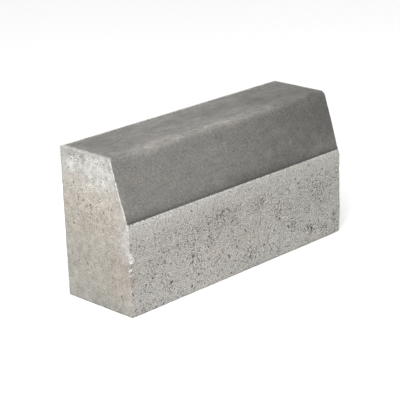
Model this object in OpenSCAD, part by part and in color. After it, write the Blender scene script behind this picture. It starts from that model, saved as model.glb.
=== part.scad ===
// Precast concrete kerb stone, half-battered, in a short unit.
// It stands on its underside. X runs along the kerb, the sloping road face looks to -Y and the
// plain back to +Y. The origin is at the middle of the underside.

/* [Size] */
// Length along the road
kerb_length = 500; // [250:10:1000]
// Height from the underside to the top
kerb_height = 250; // [220:5:300]
// Width of the base, from the road face to the back
base_width = 150; // [140:5:200]

/* [Road face] */
// Width of the flat top, measured to where its line meets the sloping face
top_width = 116; // [90:1:125]
// Height of the upright lower face, measured to where its line meets the sloping face
upright_height = 143; // [100:1:170]

/* [Edges] */
// Radius of the nose, between the top and the sloping face
nose_radius = 10; // [5:1:20]
// Radius of the soft bend between the sloping face and the upright face
bend_radius = 40; // [10:5:60]
// Radius of every other arris
arris_radius = 3; // [1:0.5:5]

/* [Hidden] */
$fn = 96;

// The section, as [y, z] going round from the bottom of the road face, with a radius at each corner
road_y = -base_width / 2;
back_y = base_width / 2;
nose_y = back_y - top_width;
corners = [
    [[road_y, 0], arris_radius],
    [[back_y, 0], arris_radius],
    [[back_y, kerb_height], arris_radius],
    [[nose_y, kerb_height], nose_radius],
    [[road_y, upright_height], bend_radius]
];
batter_angle = atan2(kerb_height - upright_height, nose_y - road_y);

// Unit vector from one point of the section towards another
function toward(a, b) = (b - a) / norm(b - a);

// Point number i of the section, counted round past the last one
function corner(i) = corners[(i + len(corners)) % len(corners)][0];

// Unit vector along the middle of corner i, into the concrete
function inward(i) = toward([0, 0], toward(corner(i), corner(i - 1)) + toward(corner(i), corner(i + 1)));

// Half of the angle between the two faces that meet at corner i
function half_angle(i) = acos(toward(corner(i), corner(i + 1)) * inward(i));

// Centre of the rounding at corner i, and its two ends on the faces
function round_centre(i) = corner(i) + inward(i) * corners[i][1] / sin(half_angle(i));
function round_end(i, side) =
    corner(i) + toward(corner(i), corner(i + side)) * corners[i][1] / tan(half_angle(i));

// The section with all its corners rounded
module section() {
    polygon([
        for (i = [0 : len(corners) - 1])
            each [round_end(i, -1), round_centre(i), round_end(i, 1)]
    ]);
    for (i = [0 : len(corners) - 1])
        translate(round_centre(i))
            circle(r = corners[i][1]);
}

// What is worn off both ends of one long face: a rounding as long as the face is high or wide.
// The face passes through the point at [y, z] and looks along the angle from +Y towards +Z.
module end_rounding(point, angle) {
    translate([0, point[0], point[1]])
        rotate([angle, 0, 0])
            linear_extrude(height = 2 * kerb_height, center = true)
                for (end = [0, 1])
                    mirror([end, 0])
                        translate([kerb_length / 2 - arris_radius, -arris_radius])
                            difference() {
                                square(2 * arris_radius);
                                circle(r = arris_radius);
                            }
}

// The whole stone, cast in one piece
module kerb_stone() {
    nose_angle = (90 + 90 + batter_angle) / 2;
    nose_crest = round_centre(3) + nose_radius * [cos(nose_angle), sin(nose_angle)];
    color([0.6, 0.59, 0.57])
        difference() {
            rotate([90, 0, 90])
                linear_extrude(height = kerb_length, center = true)
                    section();
            end_rounding([back_y, 0], 0);
            end_rounding([0, kerb_height], 90);
            end_rounding(nose_crest, nose_angle);
            end_rounding([nose_y, kerb_height], 90 + batter_angle);
            end_rounding([road_y, 0], 180);
            end_rounding([0, 0], 270);
        }
}

kerb_stone();
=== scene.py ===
"""A half-battered road kerb stone in a short unit, 500 mm long, 250 mm high and 150 mm wide.

It is cast in one piece. The top and the sloping face carry a smooth dark facing, and the rest is
pale, sandy, porous concrete. It stands on its underside on a plain floor, in soft studio light.
"""
import math

import bmesh
import bpy
import numpy as np
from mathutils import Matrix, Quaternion, Vector, noise


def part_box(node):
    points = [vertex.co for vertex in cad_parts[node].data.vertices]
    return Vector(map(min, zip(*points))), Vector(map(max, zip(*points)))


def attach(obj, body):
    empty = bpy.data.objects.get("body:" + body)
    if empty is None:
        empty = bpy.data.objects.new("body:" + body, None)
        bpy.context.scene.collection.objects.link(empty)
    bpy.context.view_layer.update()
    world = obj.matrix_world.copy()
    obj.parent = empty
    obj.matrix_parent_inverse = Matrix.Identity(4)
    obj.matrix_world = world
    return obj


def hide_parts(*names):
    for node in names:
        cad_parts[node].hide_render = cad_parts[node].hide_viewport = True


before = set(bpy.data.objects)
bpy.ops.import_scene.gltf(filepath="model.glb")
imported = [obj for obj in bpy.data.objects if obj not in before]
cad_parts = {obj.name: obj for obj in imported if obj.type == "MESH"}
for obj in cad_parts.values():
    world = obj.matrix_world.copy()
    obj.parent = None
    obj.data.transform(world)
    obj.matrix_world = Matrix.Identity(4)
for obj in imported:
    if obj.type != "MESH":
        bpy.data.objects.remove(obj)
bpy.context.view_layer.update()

# The casting
# One block of concrete, rammed into a steel mould in a single go and turned out the same day.
# Its faces are flat, its nose is round, and its arrises crumble a little where the mould opens.
low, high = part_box("kerb_stone")
top_width = 0.116
bend_height = 0.143
nose_radius = 0.010
bend_radius = 0.040
arris_radius = 0.003
facing_foot = 0.151
lip_depth = 0.0007
lip_height = 0.0008
nose_y = high.y - top_width

bpy.ops.object.select_all(action="DESELECT")
bpy.ops.mesh.primitive_cube_add(size=1, location=(low + high) / 2, scale=high - low)
stone = bpy.context.object
stone.name = "kerb_casting"
bpy.ops.object.transform_apply(location=True, rotation=True, scale=True)
bpy.ops.object.mode_set(mode="EDIT")
bpy.ops.mesh.select_mode(type="EDGE")


def cut(axis, place):
    """Cuts right through the block, square to one axis."""
    point = Vector()
    point[axis] = place
    square = Vector()
    square[axis] = 1
    bpy.ops.mesh.select_all(action="SELECT")
    bpy.ops.mesh.bisect(plane_co=point, plane_no=square)


def split(axis, start, stop, pieces):
    """Splits the edges that run along one axis, from start to stop, into equal pieces."""
    bpy.ops.mesh.select_all(action="DESELECT")
    block = bmesh.from_edit_mesh(stone.data)
    hair = 1e-5
    for edge in block.edges:
        ends = sorted(vertex.co[axis] for vertex in edge.verts)
        edge.select_set(abs(ends[0] - start) < hair and abs(ends[1] - stop) < hair)
    bmesh.update_edit_mesh(stone.data)
    bpy.ops.mesh.subdivide(number_cuts=pieces - 1)


def split_along(axis, stops, pieces):
    """Cuts the block at each stop, then splits each stretch between them into its pieces."""
    for stop in stops[1:-1]:
        cut(axis, stop)
    for start, stop, count in zip(stops, stops[1:], pieces):
        split(axis, start, stop, count)


# Across: an arris, the width of the nose, the middle and an arris. The top is then drawn in to its
# own width, which leans the upper half of the road side back into the sloping face.
nose_band = 0.0095
across = [low.y, low.y + arris_radius, low.y + nose_band, high.y - arris_radius, high.y]
split_along(1, across, [3, 4, 46, 3])
cut(2, bend_height)
bpy.ops.mesh.select_all(action="DESELECT")
block = bmesh.from_edit_mesh(stone.data)
for edge in block.edges:
    edge.select_set(all(vertex.co.z > high.z - 1e-5 for vertex in edge.verts))
bmesh.update_edit_mesh(stone.data)
bpy.ops.transform.resize(
    value=(1, top_width / (high.y - low.y), 1), center_override=(0, high.y, high.z)
)

# Up: the lip under the facing has cuts of its own.
upward = [
    low.z,
    low.z + arris_radius,
    bend_height - 0.0065,
    facing_foot - lip_height,
    facing_foot,
    facing_foot + 0.002,
    high.z - 0.007,
    high.z,
]
for stop in upward[1:-1]:
    cut(2, stop)
split(2, upward[0], upward[1], 3)
split(2, upward[1], upward[2], 64)
split(2, upward[2], bend_height, 3)
split(2, bend_height, upward[3], 3)
split(2, upward[5], upward[6], 30)
split(2, upward[6], upward[7], 5)

# Along: four stretches, because an edge takes at most 100 cuts at a time.
stretches = 4
along = np.linspace(low.x + arris_radius, high.x - arris_radius, stretches + 1).tolist()
split_along(0, [low.x] + along + [high.x], [3] + [59] * stretches + [3])
bpy.ops.mesh.select_all(action="SELECT")
bpy.ops.mesh.normals_make_consistent(inside=False)
bpy.ops.object.mode_set(mode="OBJECT")

place = np.empty(3 * len(stone.data.vertices))
stone.data.vertices.foreach_get("co", place)
place = place.reshape(-1, 3)


def unit(vectors):
    """The same vectors, one long."""
    return vectors / np.linalg.norm(vectors, axis=-1, keepdims=True)


def lumps(points, size, seed):
    """Smooth noise between about -1 and 1, with lumps of one size."""
    shift = Vector((7.3, 3.1, 5.7)) * seed
    return np.array([noise.noise(Vector(point) / size + shift) for point in points])


def step(values, start, stop):
    """0 up to start, 1 past stop, and a smooth rise between."""
    rise = np.clip((values - start) / (stop - start), 0, 1)
    return rise * rise * (3 - 2 * rise)


foot = np.array([low.y, low.z])
heel = np.array([high.y, low.z])
crown = np.array([high.y, high.z])
nose = np.array([nose_y, high.z])
bend = np.array([low.y, bend_height])


def round_corner(before, corner, after, radius):
    """Draws a corner of the section in to a round one, the arcs nested one inside another."""
    flat = place[:, 1:]
    sides = [unit(before - corner), unit(after - corner)]
    middle = unit(sides[0] + sides[1])
    half = math.acos(sides[0] @ middle)
    centre = corner + middle * (radius / math.sin(half))[:, None]
    outward = [unit(side * (middle @ side) - middle) for side in sides]
    arm = flat - centre
    reach = [arm @ normal for normal in outward]
    lean = outward[0] @ outward[1]
    between = (reach[0] > lean * reach[1]) & (reach[1] > lean * reach[0])
    length = np.linalg.norm(arm, axis=1)
    drawn = centre + arm * (np.maximum(*reach) / np.maximum(length, 1e-9))[:, None]
    flat[between] = drawn[between]


# The mould's own roundings, then the arrises, which are more worn in some places than in others.
count = len(place)
worn = arris_radius * (0.8 + 0.25 * lumps(place, 0.04, 1) + 0.15 * lumps(place, 0.01, 2))
far_foot_corner = np.array([high.x, low.y, low.z])
worn += 0.003 * (1 - step(np.linalg.norm(place - far_foot_corner, axis=1), 0.006, 0.03))
round_corner(crown, nose, bend, np.full(count, nose_radius))
round_corner(nose, bend, foot, np.full(count, bend_radius))
round_corner(bend, foot, heel, worn)
round_corner(foot, heel, crown, worn)
round_corner(heel, crown, nose, worn * 0.8)

batter_along = unit(nose - bend)
batter_out = np.array([-batter_along[1], batter_along[0]])


def depths():
    """How deep each point lies behind each face: road side, back, underside, and the two ends."""
    x, y, z = place.T
    top = high.z - z
    batter = (bend - place[:, 1:]) @ batter_out
    front = y - low.y
    road = np.minimum(np.minimum(top, batter), front)
    return np.stack([road, high.y - y, z - low.z, x - low.x, high.x - x])


def road_outward():
    """The outward direction of the part of the road side nearest to each point, as [x, y, z]."""
    y, z = place[:, 1:].T
    top = high.z - z
    batter = (bend - place[:, 1:]) @ batter_out
    front = y - low.y
    nearest = np.argmin(np.stack([top, batter, front]), axis=0)
    faces = np.array([[0, 0, 1], [0, *batter_out], [0, -1, 0]])
    return faces[nearest]


# The ends: each end arris is worn round all the way about the section.
depth = depths()
inside = np.min(depth[:3], axis=0)
top_side = unit(crown - nose)
nose_middle = unit(top_side + unit(bend - nose))
nose_centre = nose + nose_middle * nose_radius / math.sin(math.acos(top_side @ nose_middle))
nose_arm = place[:, 1:] - nose_centre
on_nose = (nose_arm[:, 1] > 0) & (nose_arm @ batter_out > 0) & (nose_arm[:, 0] < 0)
inside_nose = nose_radius - np.linalg.norm(nose_arm, axis=1)
inside = np.where(on_nose, np.minimum(inside, inside_nose), inside)
inside = np.maximum(inside, 0)
outward = np.zeros_like(place)
side = np.argmin(depth[:3], axis=0)
outward[side == 0] = road_outward()[side == 0]
outward[side == 1] = (0, 1, 0)
outward[side == 2] = (0, 0, -1)
outward[on_nose, 1:] = unit(nose_arm[on_nose])
outward[on_nose, 0] = 0
from_end = high.x - np.abs(place[:, 0])
near = (inside < worn) & (from_end < worn)
across_arm = worn - inside
along_arm = worn - from_end
arm_length = np.maximum(np.hypot(across_arm, along_arm), 1e-9)
shrink = np.where(near, 1 - worn / arm_length, 0)
shrink = np.maximum(shrink, 0)
place -= outward * (across_arm * shrink)[:, None]
place[:, 0] -= np.sign(place[:, 0]) * along_arm * shrink

# Relief: everything goes inward from the true faces, never out past them.
depth = depths()
order = np.argsort(depth, axis=0)
own, neighbour = order[0], order[1]
everyone = np.arange(count)
edge_distance = depth[neighbour, everyone]
outwards = np.stack(
    [
        road_outward(),
        np.tile([0.0, 1, 0], (count, 1)),
        np.tile([0.0, 0, -1], (count, 1)),
        np.tile([-1.0, 0, 0], (count, 1)),
        np.tile([1.0, 0, 0], (count, 1)),
    ]
)
own_out = outwards[own, everyone]
neighbour_out = outwards[neighbour, everyone]
faced = (own == 0) * step(place[:, 2], facing_foot - lip_height, facing_foot)
raw = 1 - faced

sag = 0.0004 * (0.5 + 0.5 * lumps(place, 0.07, 3))
sand = 0.0004 * raw * (0.5 + 0.5 * lumps(place, 0.0055, 4))
on_batter = faced * (place[:, 2] < high.z - 0.004)
lip = lip_depth * on_batter * step(-place[:, 2], -(facing_foot + 0.05), -facing_foot)


def pores(size, radius, share, seed, spread):
    """Round air holes of one size: how deep each point lies in one, and 0 between them."""
    crowd = lumps(place, spread, seed)
    deep = np.zeros(count)
    shift = Vector((3.3, 8.1, 1.7)) * seed
    for i in range(count):
        distances, centres = noise.voronoi(Vector(place[i]) / size + shift)
        chance = noise.cell(centres[0] * 9.7)
        reach = radius * (0.55 + 0.45 * noise.cell(centres[0] * 23.1 + shift))
        away = distances[0] * size
        if away < reach and chance < share * (1 + 1.2 * crowd[i]):
            deep[i] = math.sqrt(reach * reach - away * away)
    return deep


uneven = lumps(place, 0.014, 12) + 0.6 * lumps(place, 0.005, 13)


def patch(centre, reach):
    """1 inside a soft patch about a point, falling unevenly to 0 at its edge."""
    away = np.linalg.norm((place - np.array(centre)) / np.array(reach), axis=1)
    return 1 - step(away + 0.25 * uneven, 0.35, 1.25)


# The texture is close just under the facing. Below that, and high on the near end, the sand has
# opened up in clusters: each is how open it is, a centre and a reach.
on_front = (own == 0) * raw
close = 0.85 * on_front * step(place[:, 2] + 0.003 * uneven, 0.118, 0.134)
clusters = [
    (0.62, (-0.052, low.y, 0.108), (0.020, 0.02, 0.028)),
    (0.75, (0.044, low.y, 0.105), (0.028, 0.02, 0.020)),
    (0.7, (-0.076, low.y, 0.074), (0.018, 0.02, 0.018)),
    (0.85, (0.124, low.y, 0.050), (0.018, 0.02, 0.020)),
    (0.85, (0.169, low.y, 0.026), (0.020, 0.02, 0.016)),
    (0.75, (0.203, low.y, 0.020), (0.020, 0.02, 0.011)),
    (0.85, (0.233, low.y, 0.032), (0.013, 0.02, 0.015)),
    (0.85, (-0.164, low.y, 0.026), (0.018, 0.02, 0.016)),
    (0.8, (0.020, low.y, 0.025), (0.022, 0.02, 0.014)),
    (0.8, (-0.210, low.y, 0.072), (0.014, 0.02, 0.014)),
    (0.75, (0.090, low.y, 0.085), (0.022, 0.02, 0.024)),
    (0.75, (0.190, low.y, 0.090), (0.026, 0.02, 0.022)),
    (0.7, (-0.110, low.y, 0.055), (0.030, 0.02, 0.022)),
    (0.35, (low.x, 0.020, 0.172), (0.02, 0.060, 0.050)),
    (0.7, (low.x, 0.040, 0.239), (0.02, 0.034, 0.009)),
]
openness = 0.2 * step(lumps(place, 0.030, 8) + 0.6 * lumps(place, 0.012, 9), -0.4, 0.7)
openness += 0.25 * on_front
for open_by, centre, reach in clusters:
    openness = np.maximum(openness, open_by * patch(centre, reach))
openness *= raw * (1 - close)
crumbled = step(lumps(place, 0.0046, 10) + 0.6 * lumps(place, 0.0024, 11), 0.3, 0.7)
deepest = 0.0020
holes = pores(size=0.0095, radius=deepest, share=0.12, seed=5, spread=0.05) * raw * (1 - close)
holes = np.maximum(holes, 0.0015 * crumbled * openness)

# The arrises crumble here and there, and pieces have come out of the near one on the road side:
# each bite is its height, its reach along the arris and its depth.
crumbs = lumps(place, 0.008, 6) + 0.6 * lumps(place, 0.0035, 7)
chips = 0.0010 * step(crumbs + 0.5 * lumps(place, 0.028, 14), 0.35, 0.65)
chips *= (1 - step(edge_distance, 0.0, 0.004)) * raw
bites = [(0.098, 0.010, 0.0028), (0.078, 0.005, 0.0014), (0.070, 0.003, 0.0009)]
for height, reach, bitten in bites:
    bite = patch((low.x + 0.003, low.y, height), (0.007, 0.005, reach))
    chips = np.maximum(chips, bitten * step(bite * (1 + 0.8 * crumbs), 0.25, 0.9))

inward = sag + sand + lip + holes * (0.15 + 0.85 * step(edge_distance, 0.0005, 0.006))
place -= own_out * inward[:, None]
place -= unit(own_out + neighbour_out) * chips[:, None]
place = np.clip(place, np.array(low), np.array(high))

# Stains: each is a colour that the concrete is multiplied by, a centre and a reach.
tan = (1.15, 1.11, 1.06)
rose = (1.02, 0.98, 0.945)
moss = (0.97, 0.985, 0.955)
warm = (0.97, 0.945, 0.925)
chalky = (1.10, 1.12, 1.17)
lilac = (1.0, 0.98, 1.0)
grey = (0.91, 0.91, 0.91)
pale = (1.12, 1.12, 1.12)
rubbed_wear_and_sheen = (1.34, 1.34, 1.34)
dim = (0.95, 0.95, 0.955)
dark = (0.84, 0.84, 0.835)
stains = [
    # The near end
    (pale, (low.x, -0.010, 0.195), (0.012, 0.080, 0.045)),
    (pale, (low.x, 0.065, 0.215), (0.012, 0.025, 0.045)),
    (chalky, (low.x, -0.066, 0.124), (0.003, 0.026, 0.034)),
    (pale, (low.x, -0.073, 0.126), (0.003, 0.014, 0.032)),
    (tan, (low.x, 0.015, 0.165), (0.012, 0.090, 0.065)),
    (rose, (low.x, 0.000, 0.100), (0.012, 0.100, 0.110)),
    (moss, (low.x, 0.030, 0.080), (0.012, 0.080, 0.070)),
    (lilac, (low.x, 0.017, 0.092), (0.012, 0.020, 0.018)),
    (rose, (low.x, -0.052, 0.056), (0.012, 0.036, 0.048)),
    (grey, (low.x, -0.010, 0.008), (0.012, 0.050, 0.024)),
    (moss, (low.x, 0.010, 0.000), (0.012, 0.100, 0.040)),
    (grey, (low.x, 0.022, 0.138), (0.012, 0.028, 0.024)),
    # The road face
    (warm, (-0.070, low.y, 0.080), (0.200, 0.020, 0.060)),
    (pale, (-0.100, low.y, 0.030), (0.130, 0.020, 0.055)),
    (moss, (0.180, low.y, 0.070), (0.110, 0.020, 0.100)),
    (pale, (0.120, low.y, 0.050), (0.110, 0.020, 0.080)),
    (grey, (-0.040, low.y, 0.105), (0.035, 0.020, 0.020)),
    # Two dark strips beside the chipped near arris: partly a rough broken strip and partly painted
    # shadow beside the chips.
    (dark, (low.x + 0.004, low.y, 0.082), (0.004, 0.004, 0.046)),
    (dark, (low.x + 0.004, low.y, 0.090), (0.004, 0.004, 0.030)),
    (grey, (0.150, low.y, 0.075), (0.090, 0.020, 0.040)),
]

# These are on the dark facing only: the top first, then the sloping face.
facing_stains = [
    # The two lightest bands along the nose are partly pale rubbed wear and partly painted light:
    # the shading of the round nose and a painted sheen.
    (rubbed_wear_and_sheen, (-0.150, -0.034, high.z), (0.090, 0.018, 0.012)),
    (rubbed_wear_and_sheen, (0.000, -0.036, high.z), (0.090, 0.014, 0.012)),
    (pale, (-0.080, -0.030, high.z), (0.180, 0.020, 0.012)),
    (pale, (0.110, -0.036, high.z), (0.080, 0.012, 0.012)),
    (pale, (-0.110, 0.005, high.z), (0.080, 0.032, 0.008)),
    (pale, (-0.010, -0.002, high.z), (0.055, 0.024, 0.008)),
    (pale, (0.080, -0.008, high.z), (0.060, 0.016, 0.008)),
    (pale, (0.020, 0.062, high.z), (0.120, 0.022, 0.008)),
    (dark, (0.126, 0.012, high.z), (0.036, 0.026, 0.008)),
    (grey, (0.130, 0.006, high.z), (0.026, 0.020, 0.008)),
    (pale, (0.070, 0.046, high.z), (0.050, 0.016, 0.008)),
    (pale, (0.122, -0.036, high.z), (0.026, 0.012, 0.012)),
    (pale, (-0.060, 0.048, high.z), (0.070, 0.020, 0.008)),
    (pale, (-0.244, 0.026, high.z), (0.022, 0.044, 0.008)),
    (dark, (0.215, -0.010, high.z), (0.046, 0.032, 0.010)),
    (grey, (0.200, 0.000, high.z), (0.100, 0.090, 0.008)),
    (grey, (0.040, 0.020, high.z), (0.060, 0.018, 0.008)),
    (grey, (-0.200, 0.030, high.z), (0.040, 0.028, 0.008)),
    (dark, (0.220, -0.050, 0.215), (0.180, 0.020, 0.080)),
    (dark, (0.250, -0.050, 0.200), (0.180, 0.020, 0.080)),
    (grey, (0.270, -0.045, 0.225), (0.080, 0.020, 0.060)),
    (grey, (0.236, -0.056, 0.192), (0.040, 0.034, 0.060)),
    (dark, (-0.222, -0.072, 0.154), (0.044, 0.020, 0.011)),
    (dim, (0.180, -0.055, 0.200), (0.110, 0.040, 0.070)),
    (dim, (0.060, -0.072, 0.156), (0.220, 0.020, 0.014)),
    (grey, (0.118, -0.070, 0.160), (0.050, 0.020, 0.016)),
    (grey, (0.190, -0.064, 0.168), (0.130, 0.020, 0.030)),
    (grey, (0.050, -0.055, 0.197), (0.070, 0.020, 0.024)),
    (grey, (0.080, -0.044, 0.230), (0.180, 0.020, 0.018)),
    (grey, (0.030, -0.073, 0.152), (0.160, 0.020, 0.016)),
    (dark, (0.070, -0.066, 0.166), (0.120, 0.020, 0.026)),
    (dark, (0.000, -0.074, 0.150), (0.500, 0.020, 0.018)),
]

# Lime that has come out on the surface: each patch is how much, a centre and a reach.
limed = [
    (1.0, (low.x, -0.012, 0.222), (0.012, 0.050, 0.036)),
    (0.9, (low.x, 0.045, 0.228), (0.012, 0.035, 0.018)),
]
lime = np.zeros(count)
for share, centre, reach in limed:
    lime = np.maximum(lime, share * patch(centre, reach))
tint = np.ones((count, 3))
for colour, centre, reach in stains:
    tint *= 1 + patch(centre, reach)[:, None] * (np.array(colour) - 1)
for colour, centre, reach in facing_stains:
    tint *= 1 + (faced * patch(centre, reach))[:, None] * (np.array(colour) - 1)

stone.data.vertices.foreach_set("co", place.ravel())
stone.data.update()

# The relief leaves small folds where two faces meet, so the arrises are eased once it is in.
bpy.ops.object.mode_set(mode="EDIT")
bpy.ops.mesh.select_mode(type="VERT")
bpy.ops.mesh.select_all(action="DESELECT")
block = bmesh.from_edit_mesh(stone.data)
for vertex in block.verts:
    vertex.select_set(bool(edge_distance[vertex.index] < 0.006))
bmesh.update_edit_mesh(stone.data)
bpy.ops.mesh.vertices_smooth(factor=0.5, repeat=3)
bpy.ops.object.mode_set(mode="OBJECT")
bpy.ops.object.shade_smooth()
layers = {"hole": holes / deepest, "chip": chips / deepest, "open": openness, "lime": lime}
for name, values in layers.items():
    layer = stone.data.attributes.new(name, "FLOAT", "POINT")
    layer.data.foreach_set("value", np.clip(values, 0, 1))
layer = stone.data.attributes.new("tint", "FLOAT_COLOR", "POINT")
layer.data.foreach_set("color", np.column_stack([tint, np.ones(count)]).ravel())

# The concrete
# One mix through and through. Where the steel mould was polished the skin is dense, smooth and
# dark; elsewhere it is pale and sandy, with air holes and white lime bloom on the ends.


class Field:
    """A number that changes over the stone. Sums and products of fields add Math nodes."""

    def __init__(self, recipe, socket):
        self.recipe = recipe
        self.socket = socket

    def maths(self, operation, first, second=0.0):
        return self.recipe.node("ShaderNodeMath", {"operation": operation}, {0: first, 1: second})

    def __add__(self, other):
        return self.maths("ADD", self, other)

    __radd__ = __add__

    def __sub__(self, other):
        return self.maths("SUBTRACT", self, other)

    def __rsub__(self, other):
        return self.maths("SUBTRACT", other, self)

    def __mul__(self, other):
        return self.maths("MULTIPLY", self, other)

    __rmul__ = __mul__

    def least(self, other):
        return self.maths("MINIMUM", self, other)

    def most(self, other):
        return self.maths("MAXIMUM", self, other)

    def rise(self, start, stop):
        """0 up to start, 1 past stop, and a smooth rise between."""
        return self.recipe.node(
            "ShaderNodeMapRange",
            {"interpolation_type": "SMOOTHSTEP"},
            {"Value": self, "From Min": start, "From Max": stop},
        )


class Recipe:
    """The nodes of one material."""

    def __init__(self, name):
        self.material = bpy.data.materials.new(name)
        self.material.use_nodes = True
        self.tree = self.material.node_tree
        self.shader = self.tree.nodes["Principled BSDF"]

    def node(self, kind, settings, sockets, output=0):
        """Adds a node, sets it up, fills its sockets with values or links, and gives an output."""
        node = self.tree.nodes.new(kind)
        for name, value in settings.items():
            setattr(node, name, value)
        for key, value in sockets.items():
            self.fill(self.socket(node.inputs, key), value)
        return Field(self, self.socket(node.outputs, output))

    def socket(self, sockets, key):
        if isinstance(key, int):
            return sockets[key]
        return next(s for s in sockets if key in (s.identifier, s.name))

    def fill(self, socket, value):
        if isinstance(value, Field):
            self.tree.links.new(value.socket, socket)
        else:
            socket.default_value = value

    def noise(self, size, detail=2.0, roughness=0.5, at=None, distortion=0.0):
        """Cloudy noise around 0.5, with lumps of one size in metres."""
        return self.node(
            "ShaderNodeTexNoise",
            {},
            {
                "Vector": at or self.where,
                "Scale": 1 / size,
                "Detail": detail,
                "Roughness": roughness,
                "Distortion": distortion,
            },
        )

    def cells(self, size, output="Distance", at=None):
        """Distance to the nearest of many scattered points, or that point's own random colour."""
        return self.node(
            "ShaderNodeTexVoronoi",
            {},
            {"Vector": at or self.where, "Scale": 1 / size},
            output,
        )

    def blend(self, share, first, second, mode="MIX"):
        """Goes from the first colour to the second, or multiplies the first by it."""
        return self.node(
            "ShaderNodeMix",
            {"data_type": "RGBA", "blend_type": mode},
            {"Factor_Float": share, "A_Color": first, "B_Color": second},
            "Result_Color",
        )

    def distance_to(self, point):
        """How far each place on the stone is from one point."""
        return self.node(
            "ShaderNodeVectorMath", {"operation": "DISTANCE"}, {0: self.where, 1: point}, "Value"
        )

    def shifted(self, offset, stretch=(1, 1, 1)):
        """The place on the stone, moved and stretched, so that a pattern differs from the last."""
        return self.node(
            "ShaderNodeMapping",
            {},
            {"Vector": self.where, "Location": offset, "Scale": stretch},
        )


concrete = Recipe("kerb concrete")
concrete.where = concrete.node("ShaderNodeTexCoord", {}, {}, "Object")
x, y, z = (concrete.node("ShaderNodeSeparateXYZ", {}, {0: concrete.where}, axis) for axis in "XYZ")

# How deep a point lies behind each face tells which face it is on.
below_top = high.z - z
behind_batter = (bend[0] - y) * float(batter_out[0]) + (bend[1] - z) * float(batter_out[1])
behind_front = y - low.y
behind_back = high.y - y
behind_near_end = x - low.x
behind_far_end = high.x - x
behind_end = behind_near_end.least(behind_far_end)
behind_facing = below_top.least(behind_batter)
on_top = 1 - behind_batter.least(behind_front).rise(0.004, 0.0)
ragged = concrete.noise(0.006, 3) - 0.5
fine_ragged = concrete.noise(0.0015, 2) - 0.5
margin = (behind_near_end - on_top * 0.0035).least(behind_far_end)
margin = margin.least(behind_back - 0.0015) - behind_facing
frayed = ragged * (0.004 + on_top * 0.008) + fine_ragged * (0.002 + on_top * 0.005)
facing = (margin + frayed - 0.0008 - on_top * 0.0007).rise(0, 0.0006 + on_top * 0.0040)
ragged_foot = ragged * 0.0006 + fine_ragged * (1 - behind_near_end.rise(0.010, 0.075)) * 0.004
facing = facing * (z + ragged_foot - facing_foot).rise(-0.0004, 0.0002)

hole = concrete.node("ShaderNodeAttribute", {"attribute_name": "hole"}, {}, "Fac")
chip = concrete.node("ShaderNodeAttribute", {"attribute_name": "chip"}, {}, "Fac")
openness = concrete.node("ShaderNodeAttribute", {"attribute_name": "open"}, {}, "Fac")
lime_cover = concrete.node("ShaderNodeAttribute", {"attribute_name": "lime"}, {}, "Fac")
stain = concrete.node("ShaderNodeAttribute", {"attribute_name": "tint"}, {}, "Color")
sand = concrete.noise(0.0017, 1, 0.5) - 0.5
grit = concrete.noise(0.0034, 4, 0.7, concrete.shifted((0.3, 5.7, 1.4))) - 0.5
mottle = concrete.noise(0.03, 5, 0.65, concrete.shifted((3.1, 1.7, 0.4))) - 0.5
rust = concrete.noise(0.022, 4, 0.6, concrete.shifted((1.9, 4.4, 2.6))) - 0.5
smear = concrete.noise(0.011, 4, 0.6, concrete.shifted((4.4, 0.8, 3.1))) - 0.5
drag = concrete.noise(0.009, 4, 0.6, concrete.shifted((2.7, 3.9, 1.2), (0.3, 1, 1))) - 0.5
gap = concrete.noise(0.0036, 2, 0.6, concrete.shifted((2.2, 0.6, 3.8)))
pit = concrete.noise(0.0050, 1.5, 0.55, concrete.shifted((5.1, 2.3, 0.9)), 0.6)
pit = (0.308 + 0.115 * openness - pit).rise(0, 0.03)
fleck = concrete.noise(0.0028, 1, 0.5, concrete.shifted((1.1, 6.2, 4.7)))
fleck = (0.33 + 0.09 * openness - fleck).rise(0, 0.05)
gap = (0.43 - gap).rise(0, 0.14)
cell = concrete.cells(0.0050)
kind = concrete.node("ShaderNodeSeparateColor", {}, {0: concrete.cells(0.0050, "Color")}, 0)
spark = (1 - cell.rise(0.15, 0.35)) * kind.rise(0.90, 0.96)
pinhole = (1 - cell.rise(0.12, 0.24)) * kind.rise(0.16, 0.10) * (0.2 + openness).least(1.0)

# Single air holes that stand out, darkened with painted shade, on the near end and on the road
# face.
on_near_end = [
    (0.056, 0.218), (0.037, 0.173), (0.026, 0.171), (0.009, 0.166), (-0.021, 0.160),
    (-0.040, 0.170), (0.051, 0.128), (0.024, 0.066), (-0.052, 0.031), (0.046, 0.196),
]
on_road_face = [(-0.218, 0.046), (-0.014, 0.049), (0.202, 0.127), (-0.066, 0.128), (0.143, 0.108)]
centres = [(low.x, across_kerb, height) for across_kerb, height in on_near_end]
centres += [(along_kerb, low.y, height) for along_kerb, height in on_road_face]
nearest = concrete.distance_to(centres[0])
for centre in centres[1:]:
    nearest = nearest.least(concrete.distance_to(centre))
pore = 1 - (nearest + fine_ragged * 0.002).rise(0.0010, 0.0024)

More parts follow.
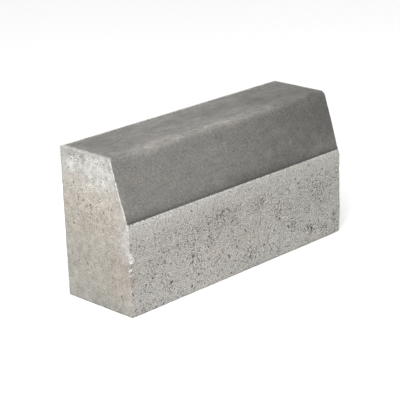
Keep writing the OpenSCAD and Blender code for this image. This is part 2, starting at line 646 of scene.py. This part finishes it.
# The pale concrete: sand and grit, pits and holes darkened with painted shade, over the stains,
# with lime and fresh breaks on top.
on_end = (behind_front.least(behind_back) - behind_end).rise(-0.001, 0.001)
open_grain = 0.38 + 0.75 * openness
pale = concrete.blend(rust.rise(-0.12, 0.14), (0.270, 0.262, 0.247, 1), (0.276, 0.264, 0.245, 1))
pale = concrete.blend(1.0, pale, stain, "MULTIPLY")
pit = pit * (1 - on_end * 0.6)
fleck = fleck * (1 - on_end * 0.6)
rim = on_end * (1 - behind_facing.least(behind_front).rise(0.0016, 0.0045))
rim = rim * (1 - on_top) * (z + ragged * 0.02).rise(0.094, 0.106)
bloom = (lime_cover * (0.84 + smear * 1.5 + grit * 1.3)).rise(0.05, 1.0)
pale = concrete.blend((bloom * 0.7).most(rim * 0.62), pale, (0.44, 0.437, 0.415, 1))
pale = concrete.blend((chip + grit * 1.2).rise(0.15, 0.7) * 0.8, pale, (0.48, 0.47, 0.445, 1))
# Painted light on the road side: the band just under the facing, over the curved knee, is painted
# lighter, and the lip edge just under its foot gets a painted highlight. The same lightening also
# reaches the pale concrete close to the top.
road_side = (1 - on_end) * (1 - y.rise(-0.030, 0.0)).most(1 - below_top.rise(0.002, 0.006))
painted_knee_light = z.rise(0.110, 0.146) * road_side
painted_lip_highlight = z.rise(facing_foot - 0.0045, facing_foot - 0.0015) * road_side
grain = (grit * 0.9 + sand * (4.2 - on_end * 1.1)) * open_grain
shade = 1 + grain + mottle * 0.25 + smear * (0.15 + on_end * 0.7)
# Pits, flecks, air holes, single pores and pinholes are darkened here as painted shade in the
# hollows; the bump gives them their relief.
shade = shade * (1 + spark * (0.6 - on_end * 0.25)) * (1 - gap * 0.06) * (1 - fleck * 0.35)
shade = shade * (1 - pit * 0.68) * (1 - hole.rise(0.2, 1.0) * 0.25) * (1 - pore * 0.6)
shade = shade * (1 - pinhole * 0.55) * (1.045 + painted_knee_light * 0.05 + painted_lip_highlight * 0.14 - on_end * 0.03)
pale = concrete.blend(1.0, pale, shade, "MULTIPLY")

# The dark facing: the same stone pressed smooth, clouded along its length, and darker at its foot,
# partly dirt and partly painted shade in the recess above the lip.
dark = concrete.blend(rust.rise(-0.12, 0.14), (0.116, 0.112, 0.104, 1), (0.122, 0.115, 0.105, 1))
dark = concrete.blend(1.0, dark, stain, "MULTIPLY")
# Darker just above the foot of the facing: partly dirt, partly painted shade in the recess above
# the lip.
dirt_and_painted_shade = 1 - (z + ragged * 0.004 - facing_foot).rise(0.0005, 0.0070)
clouds = (mottle * 0.35 + drag * 0.65) * (0.5 + on_top * 1.35)
shade = (1 + grit * 1.3 + sand * 1.3 + clouds) * (1 + spark * 0.25)
# The top of the facing is painted a little lighter than the sloping face, as painted light from
# above.
shade = shade * (1 - dirt_and_painted_shade * 0.46) * (1 + on_top * 0.07)
dark = concrete.blend(1.0, dark, shade, "MULTIPLY")

colour = concrete.blend(facing, pale, dark)
roughness = 0.93 - 0.2 * facing
height = (grit * 1.2 + sand * 1.2) * open_grain - gap * 0.2
height = height - fleck * 0.6 - pit * 1.4 - pinhole - pore
height = height * (1 - 0.85 * facing)
relief = concrete.node(
    "ShaderNodeBump",
    {},
    {"Strength": 1.0, "Distance": 0.0012, "Height": height},
    "Normal",
)
concrete.fill(concrete.shader.inputs["Base Color"], colour)
concrete.fill(concrete.shader.inputs["Roughness"], roughness)
concrete.fill(concrete.shader.inputs["Normal"], relief)

stone.data.materials.append(concrete.material)
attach(stone, "root")
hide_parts("kerb_stone")

# The floor
# A plain pale studio floor that runs well past the view on every side.
bpy.ops.object.select_all(action="DESELECT")
bpy.ops.mesh.primitive_plane_add(size=30, location=(0, 0, low.z))
floor = bpy.context.object
floor.name = "studio_floor"
floor_finish = bpy.data.materials.new("pale floor")
floor_finish.use_nodes = True
floor_shader = floor_finish.node_tree.nodes["Principled BSDF"]
floor_shader.inputs["Base Color"].default_value = (0.92, 0.92, 0.92, 1)
floor_shader.inputs["Roughness"].default_value = 0.9
floor.data.materials.append(floor_finish)

# The studio light
# A white room gives an even fill. One large soft lamp stands at the near end, on the road side.
scene = bpy.context.scene
scene.view_settings.view_transform = "Standard"
room = bpy.data.worlds.new("white room")
room.use_nodes = True
wall = room.node_tree.nodes["Background"]
wall.inputs["Color"].default_value = (1, 1, 1, 1)
wall.inputs["Strength"].default_value = 0.95
scene.world = room

lamp = bpy.data.lights.new("key_softbox", "AREA")
lamp.shape = "SQUARE"
lamp.size = 1.0
lamp.energy = 35
softbox = bpy.data.objects.new("key_softbox", lamp)
scene.collection.objects.link(softbox)
softbox.location = (-1.05, -0.76, 1.50)
aim = Vector((0, 0, 0.12)) - softbox.location
softbox.rotation_euler = aim.to_track_quat("-Z", "Y").to_euler()

# The camera
# It looks down a little on the near end and the road side.
azimuth = math.radians(-44.7)
elevation = math.radians(19.2)
roll = math.radians(-2.06)
distance = 2.411
looks_at = Vector((-0.0197, 0.0014, 0.1141))
back = Vector(
    (
        math.sin(azimuth) * math.cos(elevation),
        -math.cos(azimuth) * math.cos(elevation),
        math.sin(elevation),
    )
)
camera_data = bpy.data.cameras.new("camera")
camera_data.sensor_width = 36
camera_data.lens = 131.5
camera = bpy.data.objects.new("camera", camera_data)
scene.collection.objects.link(camera)
camera.rotation_mode = "QUATERNION"
camera.rotation_quaternion = back.to_track_quat("Z", "Y") @ Quaternion((0, 0, 1), roll)
camera.location = looks_at + back * distance
scene.camera = camera
